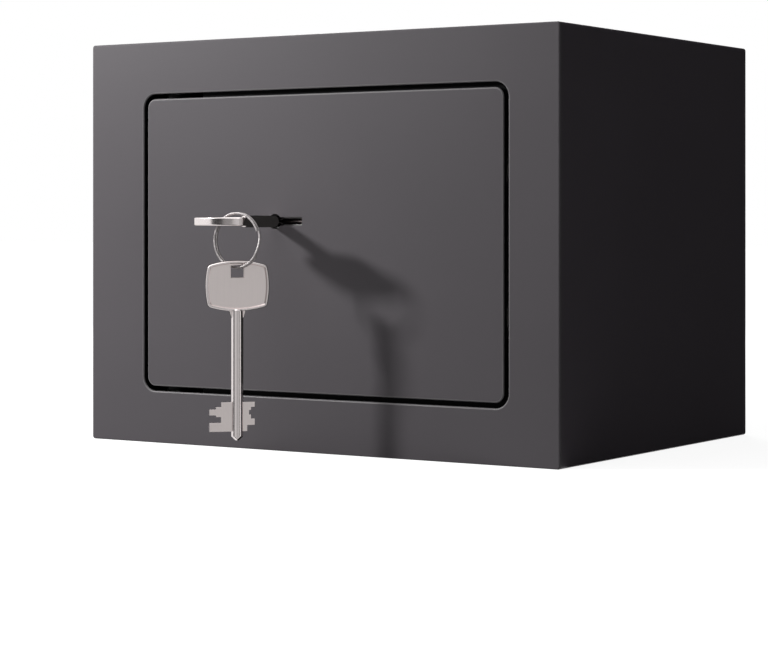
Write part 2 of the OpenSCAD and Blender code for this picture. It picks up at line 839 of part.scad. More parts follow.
// Outline of the bow, drawn in by inset on every side
module bow_outline(inset) {
    half_w = bow_w / 2 - inset;
    half_l = bow_l / 2 - inset;
    end_r = arc_radius(half_w, end_rise);
    side_r = arc_radius(half_l - end_rise, side_rise);
    corner = bow_corner - inset;
    offset(r = corner) offset(delta = -corner) intersection_for(side = [-1, 1]) intersection() {
        translate([0, side * (half_l - end_r)]) circle(end_r, $fn = 160);
        translate([side * (half_w - side_r), 0]) circle(side_r, $fn = 160);
    }
}

function total(steps, count) = count == 0 ? 0 : steps[count - 1][0] + total(steps, count - 1);

// One bit as a stepped plate on the side of the shank, from the top step down
module bit(steps, side) {
    for (i = [0 : len(steps) - 1]) {
        reach = steps[i][1];
        translate([side > 0 ? 0 : -reach, -total(steps, i + 1)]) square([reach, steps[i][0]]);
    }
}

// A key hanging by its bow: the bow's end at the origin, the shank down, the bow facing -Y
module key_body() {
    bits_top = -(key_l - bit_end - bit_l);
    difference() {
        rotate([90, 0, 0]) linear_extrude(bow_t, center = true)
            translate([0, -bow_l / 2]) bow_outline(0);
        for (side = [-1, 1])
            translate([0, side * (bow_t + web_t) / 2, 0]) rotate([90, 0, 0])
                linear_extrude(bow_t, center = true) translate([0, -bow_l / 2]) bow_outline(rim_w);
        translate([-bow_hole_w / 2, -bow_t, -bow_hole_edge - bow_hole_h])
            cube([bow_hole_w, 2 * bow_t, bow_hole_h]);
    }
    rotate([90, 0, 0]) linear_extrude(web_t, center = true) {
        for (side = [-1, 1]) polygon([
            [0, -bow_l + rim_w], [side * (shank_d / 2 + gusset_w), -bow_l + rim_w],
            [side * shank_d / 2, -bow_l - gusset_h], [0, -bow_l - gusset_h]
        ]);
        translate([0, bits_top]) bit(big_bit, -1);
        translate([0, bits_top]) bit(small_bit, 1);
    }
    translate([0, 0, -key_l + tip_l]) cylinder(h = key_l - tip_l - bow_l + rim_w, r = shank_d / 2);
    translate([0, 0, -key_l]) cylinder(h = tip_l, r1 = tip_r, r2 = shank_d / 2);
}

module lock_key() {
    color("#cfccc6") translate([key_x, bow_y, key_z]) rotate([90, 0, 0]) key_body();
}

module spare_key() {
    color("#cfccc6") translate([ring_x, ring_y, spare_top_z]) rotate([0, 0, spare_yaw]) key_body();
}

// Split ring

// Where the wire lies across the ring's width: one turn, a short jog, then the next turn
function ring_layer(sweep) =
    let (t = min(max((sweep - ring_jog_start) / ring_jog, 0), 1))
    ring_pitch * (t * t * (3 - 2 * t) - 0.5);

// The wire's section at one sweep: a flat band with rounded edges, eight points
function ring_section(sweep) =
    let (a = ring_start + sweep, y = ring_y + ring_layer(sweep), h = ring_wire_t / 2, b = ring_band / 2)
    [for (p = [[b, 0.5 * h], [0.7 * b, h], [-0.7 * b, h], [-b, 0.5 * h],
        [-b, -0.5 * h], [-0.7 * b, -h], [0.7 * b, -h], [b, -0.5 * h]])
        [ring_x + (ring_mid_r + p[0]) * cos(a), y + p[1], ring_z + (ring_mid_r + p[0]) * sin(a)]];

// Least distance between the two turns, from the middle of the wire at each step
ring_least_gap = min([for (s = [0 : 5 : ring_sweep - 360])
    ring_layer(s + 360) - ring_layer(s)]) - ring_wire_t;
echo(ring_least_gap = ring_least_gap);

module split_ring() {
    sides = 8;
    rings = ring_steps + 1;
    points = [for (i = [0 : ring_steps]) each ring_section(i * ring_sweep / ring_steps)];
    walls = [for (i = [0 : ring_steps - 1], j = [0 : sides - 1])
        let (a = i * sides + j, b = i * sides + (j + 1) % sides)
        each [[a, b, a + sides], [b, b + sides, a + sides]]];
    start_cap = [for (j = [1 : sides - 2]) [0, j + 1, j]];
    last = (rings - 1) * sides;
    end_cap = [for (j = [1 : sides - 2]) [last, last + j, last + j + 1]];
    color("#cfccc6") polyhedron(points = points, faces = concat(walls, start_cap, end_cap));
}

body_wrap();
front_frame();
back_plate();
hinge_bracket_top();
hinge_bracket_bottom();
door_stop_top();
door_stop_bottom();
bolt_keeper();
floor_mat();
door_plate();
hinge_bar();
hinge_pin_top();
hinge_pin_bottom();
hinge_washers();
anti_pry_strip();
bolt_guide();
lock_case();
lock_cover();
lock_screws();
lock_studs();
lock_nuts();
lever_post();
lever_collar();
lever_spacer();
guide_posts();
guide_washers();
guide_nuts();
key_barrel();
drive_cam();
crank_pin();
lever_1();
lever_2();
lever_3();
lever_4();
lever_5();
lever_springs();
bolt_carrier();
bolt_stump();
bolt_upper();
bolt_lower();
bolt_screws();
lock_key();
split_ring();
spare_key();
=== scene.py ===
# %% [markdown]
# # A small key safe, dressed for its picture
# The frame holds every piece of the safe at its real size, as plain solids with true bores and joints.
# This lesson gives those pieces their edges and finishes: a powder-coated cabinet and door, a zinc-plated
# lock behind the door, two nickel-plated keys on a split ring. Nothing is moved or resized here. A piece
# whose CAD solid is already right keeps it and gets a material; a piece that shows from close by gets a
# mesh of its own, with softened edges, made in the same place.

# %% Load the frame
import json
import math

import bmesh
import bpy
from mathutils import Matrix, Vector, geometry, noise

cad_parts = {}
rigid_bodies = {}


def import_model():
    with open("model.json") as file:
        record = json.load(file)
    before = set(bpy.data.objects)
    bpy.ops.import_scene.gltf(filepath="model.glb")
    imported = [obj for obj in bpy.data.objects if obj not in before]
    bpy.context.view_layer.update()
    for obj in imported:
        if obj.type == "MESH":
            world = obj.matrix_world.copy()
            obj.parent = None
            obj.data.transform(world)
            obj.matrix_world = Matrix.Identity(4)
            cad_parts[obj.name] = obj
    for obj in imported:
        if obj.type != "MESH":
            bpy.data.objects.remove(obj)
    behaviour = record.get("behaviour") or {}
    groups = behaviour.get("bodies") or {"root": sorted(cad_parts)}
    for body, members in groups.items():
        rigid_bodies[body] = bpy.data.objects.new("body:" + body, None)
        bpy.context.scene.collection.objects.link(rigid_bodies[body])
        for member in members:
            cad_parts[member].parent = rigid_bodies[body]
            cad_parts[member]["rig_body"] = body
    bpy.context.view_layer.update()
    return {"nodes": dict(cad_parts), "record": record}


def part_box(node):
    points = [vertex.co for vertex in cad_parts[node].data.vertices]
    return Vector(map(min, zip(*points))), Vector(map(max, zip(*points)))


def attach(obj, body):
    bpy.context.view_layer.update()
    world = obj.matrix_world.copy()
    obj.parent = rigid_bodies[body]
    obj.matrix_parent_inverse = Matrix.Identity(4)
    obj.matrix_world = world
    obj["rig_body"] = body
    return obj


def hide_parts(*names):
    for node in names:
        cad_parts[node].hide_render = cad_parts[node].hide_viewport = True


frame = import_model()
MM = 0.001
SLOT_OF = {row["node"]: row["material_slot"] for row in frame["record"]["subparts"]}

# %% [markdown]
# ## Camera
# The picture is a long-lens view from the front right, with the lens at the height of the key. The upright
# edges stay upright in it, so the camera is level, and a small shift of the lens puts the safe higher in
# the frame. The alternative, tilting the camera down, would make the upright edges lean together.

# %% Camera
PICTURE_W, PICTURE_H = 768, 670
HORIZON_PX = 218
camera_at = Vector((0.5358, -0.8535, 0.0954))
looking = Vector((-0.5455, 0.8381, 0.0))
lens_data = bpy.data.cameras.new("camera")
lens_data.sensor_width = 36
lens_data.lens = 108.2
lens_data.shift_y = (HORIZON_PX - PICTURE_H / 2) / PICTURE_W
lens_data.clip_start = 0.05
camera = bpy.data.objects.new("camera", lens_data)
camera.location = camera_at
camera.rotation_euler = looking.to_track_quat("-Z", "Y").to_euler()
bpy.context.scene.collection.objects.link(camera)
bpy.context.scene.camera = camera
bpy.context.scene.view_settings.view_transform = "Standard"
print("lens shift:", round(lens_data.shift_y, 4))

# %% [markdown]
# ## Shader maths as Python
# A material is a small net of nodes. Written by hand, each sum needs a node, two links and a number.
# The two classes below let a shader be written as an expression instead: `Wire` is one socket that can
# be added and multiplied, and `Paint` adds every other node through one method.

# %% Wire
class Wire:
    """One output socket of a shader, usable in a Python expression."""

    def __init__(self, paint, socket):
        self.paint = paint
        self.socket = socket

    def maths(self, operation, first, second):
        return self.paint.add("ShaderNodeMath", {"operation": operation}, {0: first, 1: second})

    def __add__(self, other):
        return self.maths("ADD", self, other)

    def __mul__(self, other):
        return self.maths("MULTIPLY", self, other)

    def __sub__(self, other):
        return self.maths("SUBTRACT", self, other)

    def __rsub__(self, other):
        return self.maths("SUBTRACT", other, self)

    __radd__ = __add__
    __rmul__ = __mul__

    def clamped(self):
        return self.maths("MINIMUM", self.maths("MAXIMUM", self, 0.0), 1.0)


print("a wire can be used with: + - *")


# %% Paint
class Paint:
    """The node tree of a material or of the world."""

    def __init__(self, tree):
        self.tree = tree
        tree.nodes.clear()

    def add(self, kind, settings=None, sockets=None, output=0):
        """Adds one node: its settings first, then its sockets' values or links."""
        node = self.tree.nodes.new(kind)
        for key, value in (settings or {}).items():
            setattr(node, key, value)
        for key, value in (sockets or {}).items():
            if isinstance(value, Wire):
                self.tree.links.new(value.socket, node.inputs[key])
            else:
                node.inputs[key].default_value = value
        return Wire(self, node.outputs[output]) if node.outputs else None

    def place(self, stretch=(1, 1, 1)):
        """The object's own coordinates in metres, stretched along the axes."""
        spot = self.add("ShaderNodeTexCoord", output=3)
        return self.add("ShaderNodeMapping", {}, {"Vector": spot, "Scale": stretch})

    def noise(self, where, scale, detail=2.0):
        return self.add("ShaderNodeTexNoise", {}, {"Vector": where, "Scale": scale, "Detail": detail})

    def blend(self, factor, first, second):
        return self.add("ShaderNodeMix", {"data_type": "RGBA"}, {0: factor, 6: first, 7: second}, output=2)

    def bump(self, height, depth, strength=1.0):
        """A normal from a height between 0 and 1 that stands for that depth in metres."""
        return self.add("ShaderNodeBump", {}, {"Height": height, "Distance": depth, "Strength": strength})

    def surface(self, **sockets):
        """The Principled shader, joined to the output."""
        named = {key.replace("_", " "): value for key, value in sockets.items()}
        self.show(self.add("ShaderNodeBsdfPrincipled", {}, named))

    def show(self, shader):
        self.add("ShaderNodeOutputMaterial", {}, {"Surface": shader})

    def looked_at(self):
        """1 where the camera, a reflection or a view through glass meets the surface, else 0."""
        camera_ray, mirror_ray, glass_ray = [self.add("ShaderNodeLightPath", output=i) for i in (0, 3, 6)]
        return (camera_ray + mirror_ray + glass_ray).clamped()


print("a paint has:", [name for name in vars(Paint) if not name.startswith("_")])


# %% Helpers for materials and colours
def new_paint(name):
    """A new material and the empty net of nodes in it."""
    material = bpy.data.materials.new(name)
    material.use_nodes = True
    return material, Paint(material.node_tree)


def screen(red, green, blue):
    """A colour as a screen shows it, 0 to 255, in Blender's linear values."""
    values = [v / 255 for v in (red, green, blue)]
    return (*[v / 12.92 if v <= 0.04045 else ((v + 0.055) / 1.055) ** 2.4 for v in values], 1.0)


def toned(colour, factor):
    """The same colour, lighter or darker."""
    return (*[v * factor for v in colour[:3]], 1)


print("a mid grey in linear values:", [round(v, 3) for v in screen(128, 128, 128)])

# %% [markdown]
# ## Light and background
# The safe is lit by two lamps at the front left and above. The left one is small and stands low, so its
# light rakes over the door and draws the keys' shadow far to the right. Both are near, so the front darkens
# towards its lower right. A third lamp, behind, shows the back when it is turned to the camera. The world
# is dim for the surfaces, but white where the camera or a reflection sees it.

# %% World and lamps
AMBIENT = 0.10
WHITE = (1, 1, 1, 1)
world = bpy.data.worlds.new("studio")
world.use_nodes = True
world.cycles.sampling_method = "NONE"
bpy.context.scene.world = world
air = Paint(world.node_tree)
brightness = air.looked_at() * (1 - AMBIENT) + AMBIENT
glow = air.add("ShaderNodeBackground", {}, {"Color": WHITE, "Strength": brightness})
air.add("ShaderNodeOutputWorld", {}, {"Surface": glow})


def lamp(name, at, aim, size, power):
    """A round lamp, its size in metres and power in watts, that shines from one point to another."""
    data = bpy.data.lights.new(name, "AREA")
    data.shape = "DISK"
    data.size = size
    data.energy = power
    thing = bpy.data.objects.new(name, data)
    thing.location = at
    thing.rotation_euler = (Vector(aim) - Vector(at)).to_track_quat("-Z", "Y").to_euler()
    thing.visible_camera = False
    bpy.context.scene.collection.objects.link(thing)


FRONT_CENTRE, BACK_CENTRE = (0.0, -0.085, 0.085), (0.0, 0.085, 0.085)
lamp("left_lamp", (-0.458, -0.467, 0.344), FRONT_CENTRE, size=0.068, power=2.9)
lamp("top_lamp", (-0.10, -0.35, 0.65), FRONT_CENTRE, size=0.60, power=1.30)
lamp("rear_lamp", (-0.45, 0.75, 0.45), BACK_CENTRE, size=0.40, power=3.0)

# %% [markdown]
# ## Screens for the reflections
# Bright metal has no look of its own: it shows what stands around it. In an all-white room the keys would
# be white shapes on white. So, as a photographer would, this step puts grey screens round the keys, which
# draw the bands on the round shank, with a black one round the right and the back. Each screen goes on as
# a cloth of its own shade on the table, up to the spot under the keys, because a low key mirrors the table
# before it mirrors a wall. The white one at the left is a cloth alone. A black card close in front of the
# door lets the key in the lock mirror black instead of the paint. Only reflections see all this: it takes
# no light from the safe, and the background stays white. The card works from its front alone, because
# behind it the paint has to go on mirroring the room.

# %% Screens, the two ways to make one
CAMERA_TURN = math.atan2(-looking.y, -looking.x)
UNDER_KEYS = (-0.010, -0.122, 0)


def stand_screen(name, bm, shade, one_sided=False):
    """Makes a mesh that only reflections see, in an even shade from 0, black, to 1, white."""
    mesh = bpy.data.meshes.new(name)
    bm.to_mesh(mesh)
    bm.free()
    material, paint = new_paint(name + "_shade")
    look = paint.add("ShaderNodeEmission", {}, {"Color": WHITE, "Strength": shade})
    if one_sided:
        from_behind = paint.add("ShaderNodeNewGeometry", output=6)
        clear = paint.add("ShaderNodeBsdfTransparent")
        look = paint.add("ShaderNodeMixShader", {}, {0: from_behind, 1: look, 2: clear})
    paint.show(look)
    mesh.materials.append(material)
    thing = bpy.data.objects.new(name, mesh)
    for sight in ("camera", "diffuse", "transmission", "volume_scatter", "shadow"):
        setattr(thing, "visible_" + sight, False)
    bpy.context.scene.collection.objects.link(thing)


def round_screen(name, inner, outer, first, last, shade):
    """Spins the line from one [radius, height] to another, between two angles that start at the camera."""
    bm = bmesh.new()
    turn = CAMERA_TURN + math.radians(first)
    ends = [bm.verts.new((r * math.cos(turn), r * math.sin(turn), z)) for r, z in (inner, outer)]
    line = bm.edges.new(ends)
    bmesh.ops.spin(bm, geom=[*ends, line], cent=(0, 0, 0), axis=(0, 0, 1),
        angle=math.radians(last - first), steps=24)
    bmesh.ops.translate(bm, vec=UNDER_KEYS, verts=bm.verts)
    stand_screen(name, bm, shade)


print("camera's direction from the safe in degrees:", round(math.degrees(CAMERA_TURN), 1))

# %% Screens round the keys
ROUND_R = 1.4
CLOTH_HUB = 0.2 * MM
CLOTH_Z = 0.5 * MM
SCREENS = {  # first and last angle in degrees, height of the wall in metres, shade
    "white": (-180, -75, 0.0, 0.92), "black_strip": (-75, -58, 1.4, 0.05), "dark_grey": (-58, -44, 1.4, 0.28),
    "left_grey": (-44, -8, 1.4, 0.62), "middle_grey": (-8, 18, 1.4, 0.42), "bow_grey": (18, 34, 1.4, 0.58),
    "right_grey": (34, 56, 1.4, 0.30), "pale_strip": (56, 76, 1.4, 0.90), "black": (76, 180, 2.4, 0.01),
}
for name, (first, last, height, shade) in SCREENS.items():
    round_screen(name + "_cloth", (CLOTH_HUB, CLOTH_Z), (ROUND_R, CLOTH_Z), first, last, shade)
    if height:
        round_screen(name + "_wall", (ROUND_R, 0), (ROUND_R, height), first, last, shade)
print("screens round the keys:", len(SCREENS))

# %% Card in front of the door
CARD_SIZE = (0.170, 0.116, 1)
CARD_AT = (0.003, -0.0856, 0.085)
CARD_SHADE = 0.022
door_card = bmesh.new()
bmesh.ops.create_grid(door_card, x_segments=1, y_segments=1, size=0.5)
bmesh.ops.scale(door_card, vec=CARD_SIZE, verts=door_card.verts)
bmesh.ops.rotate(door_card, cent=(0, 0, 0), matrix=Matrix.Rotation(math.radians(90), 3, "X"),
    verts=door_card.verts)
bmesh.ops.translate(door_card, vec=CARD_AT, verts=door_card.verts)
stand_screen("door_card", door_card, CARD_SHADE, one_sided=True)
print("the card stands before the door by mm:", round((FRONT_CENTRE[1] - CARD_AT[1]) / MM, 2))

# %% [markdown]
# ## Floor
# The floor is white to the camera and to reflections, and keeps a pale shadow: near the safe a part of its
# white comes from the lamps, so it darkens where the safe shades them, and further out it glows evenly
# until it can't be told from the background. For the light that it throws back it is a mid grey.

# %% Floor
FLOOR_REACH = 6.0
SHADOW_SHARE = 0.10
FADE_FROM, FADE_TO = 0.3125, 0.9375
LIT_GREY, THROWN_GREY = (0.4, 0.4, 0.4, 1), (0.3, 0.3, 0.3, 1)
floor_bm = bmesh.new()
bmesh.ops.create_grid(floor_bm, x_segments=2, y_segments=2, size=FLOOR_REACH)
floor_mesh = bpy.data.meshes.new("floor")
floor_bm.to_mesh(floor_mesh)
floor_bm.free()
floor_white, ground = new_paint("floor_white")
distance = ground.add("ShaderNodeVectorMath", {"operation": "LENGTH"}, {0: ground.place()}, output=1)
far = ((distance - FADE_FROM) * (1 / (FADE_TO - FADE_FROM))).clamped()
own_glow = far * SHADOW_SHARE + (1 - SHADOW_SHARE)
even = ground.add("ShaderNodeEmission", {}, {"Color": WHITE, "Strength": own_glow})
lit = ground.add("ShaderNodeBsdfDiffuse", {}, {"Color": LIT_GREY})
white = ground.add("ShaderNodeAddShader", {}, {0: even, 1: lit})
grey = ground.add("ShaderNodeBsdfDiffuse", {}, {"Color": THROWN_GREY})
ground.show(ground.add("ShaderNodeMixShader", {}, {0: ground.looked_at(), 1: grey, 2: white}))
floor_mesh.materials.append(floor_white)
floor = bpy.data.objects.new("floor", floor_mesh)
bpy.context.scene.collection.objects.link(floor)
print("floor shadow share:", SHADOW_SHARE)

# %% [markdown]
# ## Powder coat
# The cabinet and the door are sprayed with powder and baked: an even charcoal skin with a soft sheen. Seen
# close, it has the fine dimples called orange peel and a dust-fine grain. Both are far too small to model,
# so a Bump node makes them, and a slow cloud changes the tone and the sheen by a few hundredths. Two more
# copies of the coat paint light in: a near-black one is painted shade on the walls of the narrow gap round
# the door and on the parts that show through it, and a paler, glossier one on the gap's edges is a painted
# highlight that draws a bright line there.

# %% Powder coat
def powder_coat(name, colour, gloss=0.22):
    """Sprayed and baked powder: a slow cloud, the dimples of orange peel and a fine grain."""
    material, paint = new_paint(name)
    where = paint.place()
    cloud = paint.noise(where, scale=14, detail=3)
    peel = paint.noise(where, scale=520, detail=2)
    grain = paint.noise(where, scale=2600, detail=1)
    paint.surface(
        Base_Color=paint.blend(cloud, toned(colour, 0.94), toned(colour, 1.06)),
        Roughness=cloud * 0.08 + grain * 0.06 + 0.40,
        Specular_IOR_Level=gloss,
        Normal=paint.bump(peel * 0.7 + grain * 0.3, depth=0.05 * MM, strength=0.5),
    )
    return material


FINISH = {
    "front_paint": powder_coat("front_powder_coat", screen(96, 92, 96)),
    "cabinet_paint": powder_coat("cabinet_powder_coat", screen(93, 87, 94)),
    # painted shade: near black, for the gap's walls and the parts that show through the gap
    "primer": powder_coat("black_primer", screen(20, 20, 21), 0.04),
    # painted highlight: paler and glossier than the front paint, for the bevels along the gap
    "rubbed_edge_highlight": powder_coat("rubbed_powder_coat", screen(118, 115, 117), 0.5),
}
print("finishes so far:", sorted(FINISH))

# %% [markdown]
# ## Metals
# Zinc plate is bright with a faint cloudy tint. A turned part keeps the fine rings that the tool left,
# which lie across its axis, so their pattern is a noise that is stretched in the other two directions.
# Brass dulls in patches. The keys are nickel plated: polished on the shank and the rim, and brushed on the
# flats of the bow and the bits, with the strokes along the key. The ring is duller wire with small bright
# and dark spots. The washers of the hinge are black nylon, no metal, but their dull skin is made as the
# powder's is.

# %% Metals, the three kinds
AXIS = {"x": 0, "y": 1, "z": 2}


def plated(name, first, second, rough, cloud_scale=70):
    """Metal whose tint and gloss change a little from patch to patch."""
    material, paint = new_paint(name)
    where = paint.place()
    cloud = paint.noise(where, cloud_scale, detail=3)
    fine = paint.noise(where, scale=1500, detail=2)
    paint.surface(
        Base_Color=paint.blend(cloud, first, second),
        Metallic=1.0,
        Roughness=cloud * 0.10 + fine * 0.08 + rough,
        Normal=paint.bump(fine, depth=0.01 * MM, strength=0.4),
    )
    return material


def turned(name, colour, rough, along):
    """Metal with fine tool rings across one axis: the noise is quick along it and slow round it."""
    material, paint = new_paint(name)
    stretch = [30, 30, 30]
    stretch[AXIS[along]] = 4000
    rings = paint.noise(paint.place(stretch), scale=1, detail=2)
    worn = paint.noise(paint.place(), scale=120, detail=2)
    paint.surface(
        Base_Color=paint.blend(worn, toned(colour, 0.86), colour),
        Metallic=1.0,
        Roughness=rings * 0.12 + worn * 0.06 + rough,
        Normal=paint.bump(rings, depth=0.02 * MM, strength=0.4),
    )
    return material


def brushed(name, colour, rough, stroke):
    """Metal with fine strokes along one axis: the noise is slow along it and quick across it."""
    material, paint = new_paint(name)
    stretch = [2600, 2600, 2600]
    stretch[AXIS[stroke]] = 50
    strokes = paint.noise(paint.place(stretch), scale=1, detail=2)
    cloud = paint.noise(paint.place(), scale=90, detail=2)
    paint.surface(
        Base_Color=paint.blend(strokes * 0.6 + cloud * 0.4, toned(colour, 0.88), colour),
        Metallic=1.0,
        Roughness=strokes * 0.10 + rough,
        Normal=paint.bump(strokes, depth=0.01 * MM, strength=0.5),
    )
    return material


print("kinds of metal:", [kind.__name__ for kind in (plated, turned, brushed)])

# %% Metals, the finishes
STEEL, BRUSHED_NICKEL = screen(206, 206, 204), screen(246, 236, 234)
FINISH["zinc_plate"] = plated("bright_zinc", screen(196, 199, 203), screen(212, 210, 200), 0.26)
FINISH["brass"] = plated("dull_brass", screen(176, 143, 84), screen(214, 180, 112), 0.28, 120)
FINISH["dark_steel"] = plated("dull_steel", screen(112, 112, 114), screen(138, 137, 136), 0.38, 200)
FINISH["nickel"] = plated("polished_nickel", screen(228, 220, 219), screen(238, 230, 229), 0.06, 150)
FINISH["ring_wire"] = plated("spring_wire", screen(76, 73, 73), screen(216, 210, 210), 0.40, 900)
FINISH["nylon"] = powder_coat("black_nylon", screen(22, 22, 22), 0.10)
for axis in AXIS:
    FINISH["turned_" + axis] = turned("turned_steel_" + axis, STEEL, 0.22, axis)
FINISH["bolt_steel"] = turned("bolt_nickel", screen(220, 220, 219), 0.16, "x")
FINISH["brushed_y"] = brushed("brushed_nickel_y", BRUSHED_NICKEL, 0.27, "y")
FINISH["brushed_z"] = brushed("brushed_nickel_z", BRUSHED_NICKEL, 0.27, "z")
print("finishes so far:", sorted(FINISH))

# %% [markdown]
# ## Felt
# The mat on the floor of the cabinet is needle felt: matted dark fibres with no weave. Short streaks of
# noise in two directions stand for the fibres, and the shader's sheen lights the fuzz at grazing angles.

# %% Felt
def felt(name, colour):
    """Matted fibres that lie in two directions, in soft tufts."""
    material, paint = new_paint(name)
    across = paint.noise(paint.place((500, 2600, 900)), scale=1, detail=3)
    along = paint.noise(paint.place((2600, 600, 900)), scale=1, detail=3)
    tuft = paint.noise(paint.place(), scale=160, detail=2)
    matted = (across * 0.5 + along * 0.5) * 0.7 + tuft * 0.3
    paint.surface(
        Base_Color=paint.blend(matted, colour, toned(colour, 1.9)),
        Roughness=1.0,
        Specular_IOR_Level=0.1,
        Sheen_Weight=0.4,
        Sheen_Roughness=0.5,
        Normal=paint.bump(matted, depth=0.4 * MM, strength=0.8),
    )
    return material


FINISH["felt"] = felt("needle_felt", screen(38, 38, 40))
print("finishes:", len(FINISH))

# %% [markdown]
# ## From a CAD solid to a softened piece
# No sheet metal has a knife edge: it is deburred, and the coat or plating rounds it further. The frame's
# solids have sharp edges and arrive as loose triangles. So a copy is merged, its flat faces are made
# whole again, and the edges get a narrow bevel that catches the light. The Weighted Normal modifier then
# keeps the large faces flat in the shading, so that only the bevels look round. The four tiny lengths
# below say how near two points have to be to count as one, or a point to a plane to lie in it.

# %% Helpers for edges
SHARP = math.radians(30)
ALMOST_FLAT = math.radians(0.3)
SPECK, DOUBLE, SEAM, HAIR = 0.001 * MM, 0.002 * MM, 0.005 * MM, 0.01 * MM


def merged_copy(node):
    """A copy of a CAD node's mesh with its doubles merged and its flat faces whole."""
    bm = bmesh.new()
    bm.from_mesh(frame["nodes"][node].data)
    bmesh.ops.remove_doubles(bm, verts=bm.verts, dist=DOUBLE)
    bmesh.ops.dissolve_limit(bm, angle_limit=ALMOST_FLAT, verts=bm.verts, edges=bm.edges)
    return bm


def bevel(bm, edges, width, segments=2):
    """Rounds the given edges by a width in metres and returns the new faces."""
    return bmesh.ops.bevel(bm, geom=list(edges), offset=width, affect="EDGES", segments=segments,
        profile=0.5, material=-1, clamp_overlap=True)["faces"]


def sharp_edges(bm, wanted=lambda edge: True):
    """The edges between two faces that meet at a clear angle."""
    return [e for e in bm.edges
        if len(e.link_faces) == 2 and e.calc_face_angle(0) > SHARP and wanted(e)]


def in_plane(edge, axis, value):
    """Whether both ends of an edge lie in a plane across an axis."""
    return all(abs(v.co[axis] - value) < HAIR for v in edge.verts)


print("edges sharper than", round(math.degrees(SHARP)), "degrees are softened")


# %% Helper for pieces
def piece(name, bm, finishes, node, crease=40):
    """Makes the object, which rides where its CAD node rides and stands for it."""
    mesh = bpy.data.meshes.new(name)
    bm.to_mesh(mesh)
    bm.free()
    for finish in finishes:
        mesh.materials.append(FINISH[finish])
    mesh.shade_smooth()
    mesh.set_sharp_from_angle(angle=math.radians(crease))
    thing = bpy.data.objects.new(name, mesh)
    bpy.context.scene.collection.objects.link(thing)
    even = thing.modifiers.new("even_faces", "WEIGHTED_NORMAL")
    even.keep_sharp = True
    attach(thing, frame["nodes"][node]["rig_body"])
    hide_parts(node)
    return thing


print("pieces to dress:", len(frame["nodes"]))

# %% [markdown]
# ## Cabinet and door
# The front frame is a flat plate welded to the wrap and ground flush, so its outer edge gets a soft bevel
# and no seam shows behind it. The opening and the door are laser cut and rubbed smooth: the thin bevels
# there catch the light, and a paler, glossier finish on them adds a painted highlight, which draws the bright
# lines along the gap. The gap itself is kept black by painted shade on its walls. The keyhole is only
# deburred. Each plate carries three finishes, and a face's material index picks its own: 0 the paint, 1 the
# black painted shade of the walls, 2 the rubbed edge with its painted highlight. How far a face looks to
# the front is told by the Y part of its normal: near 1 face on, near 0 a wall.

# %% Helpers for the two plates of the front
front_low, front_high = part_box("front_frame")
FRONT_Y = front_low.y
# by material index: the paint, the black painted shade of the gap's walls, the rubbed edge with its painted
# highlight
PLATE_FINISHES = ["front_paint", "primer", "rubbed_edge_highlight"]
OUTER_EDGE = 0.7 * MM
CUT_EDGE = 0.65 * MM
HOLE_EDGE = 0.15 * MM
BORDER = 8 * MM
FACE_ON, SQUARE_ON = 0.99, 0.05


def on_outline(edge, low, high):
    """Whether an edge belongs to the outer outline of a plate drawn in X and Z."""
    return any(min(v.co.x - low.x, high.x - v.co.x, v.co.z - low.z, high.z - v.co.z) < BORDER
        for v in edge.verts)


def in_opening(face):
    """Whether a face lies within the front frame's border."""
    spot = face.calc_center_median()
    return (front_low.x + BORDER < spot.x < front_high.x - BORDER
        and BORDER < spot.z < front_high.z - BORDER)


def shade_gap_walls(bm, wanted=lambda face: True):
    """Gives the second finish, the black painted shade, to the walls that stand square to the front."""
    for face in bm.faces:
        if abs(face.normal.y) < SQUARE_ON and wanted(face):
            face.material_index = 1


def rub_and_highlight(faces):
    """Gives the third finish to the softened edges along the gap: glossier, and paler as a painted highlight.
    """
    for face in faces:
        face.material_index = 2


print("front plane at y in mm:", round(FRONT_Y / MM, 2))

# %% Front frame
front_bm = merged_copy("front_frame")
front_edges = sharp_edges(front_bm, lambda e: in_plane(e, 1, FRONT_Y))
outline = [e for e in front_edges if on_outline(e, front_low, front_high)]
opening = [e for e in front_edges if not on_outline(e, front_low, front_high)]
bevel(front_bm, outline, OUTER_EDGE, 4)
opening = [e for e in opening if e.is_valid]
rubbed_and_highlit = bevel(front_bm, opening, CUT_EDGE, 3)
shade_gap_walls(front_bm, in_opening)
rub_and_highlight(rubbed_and_highlit)
piece("front_frame_coated", front_bm, PLATE_FINISHES, "front_frame")
print("outline edges:", len(outline), "opening edges:", len(opening))

# %% Door
door_low, door_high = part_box("door_plate")
door_bm = merged_copy("door_plate")
door_edges = sharp_edges(door_bm, lambda e: in_plane(e, 1, FRONT_Y) or in_plane(e, 1, door_high.y))
rim = [e for e in door_edges if on_outline(e, door_low, door_high)]
keyhole = [e for e in door_edges if not on_outline(e, door_low, door_high)]
rubbed_and_highlit = bevel(door_bm, rim, CUT_EDGE, 3)
keyhole = [e for e in keyhole if e.is_valid]
bevel(door_bm, keyhole, HOLE_EDGE, 2)
shade_gap_walls(door_bm)
rub_and_highlight([f for f in rubbed_and_highlit if f.is_valid and f.calc_center_median().y < FRONT_Y + CUT_EDGE])
piece("door_plate_coated", door_bm, PLATE_FINISHES, "door_plate")
print("rim edges:", len(rim), "keyhole edges:", len(keyhole))

# %% Wrap and back
WRAP_EDGE = 0.4 * MM
BACK_EDGE = 0.35 * MM
wrap_front_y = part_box("body_wrap")[0].y
wrap_bm = merged_copy("body_wrap")
wrap_edges = sharp_edges(wrap_bm, lambda e: not in_plane(e, 1, wrap_front_y))
bevel(wrap_bm, wrap_edges, WRAP_EDGE, 3)
piece("body_wrap_coated", wrap_bm, ["cabinet_paint"], "body_wrap")

